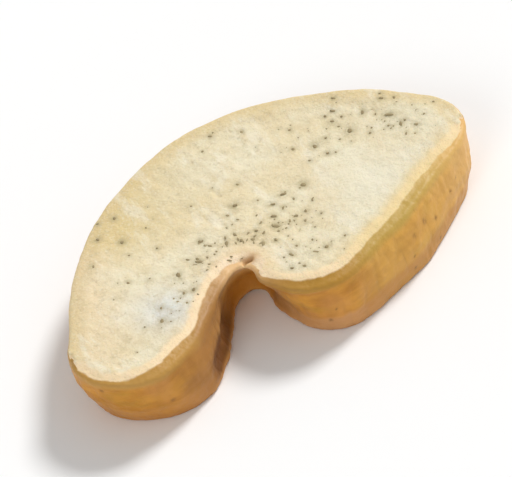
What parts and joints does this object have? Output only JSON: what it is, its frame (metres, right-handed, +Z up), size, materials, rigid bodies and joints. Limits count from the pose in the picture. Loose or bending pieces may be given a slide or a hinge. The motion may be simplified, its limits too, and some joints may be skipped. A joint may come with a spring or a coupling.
{
  "type": "colchicum corm slice",
  "caption": "Dried kidney-shaped slice of a colchicum corm, with flat knife-cut faces, a thin waxy skin round the rim and the groove where the flower shoot lay.",
  "frame": {"origin": "on the lower cut face that the slice rests on, under the middle of its box", "axes": "+X along the length towards the rounder, wider lobe, -Y the way the groove opens, +Z up through the thickness"},
  "size_m": [0.0342, 0.0214, 0.0049],
  "materials": {
    "dried_flesh": "matt mealy cream cut faces, with a satin golden-ochre skin round the rim"
  },
  "bodies": {
    "root": {"corm_slice": "dried_flesh"}
  },
  "joints": []
}
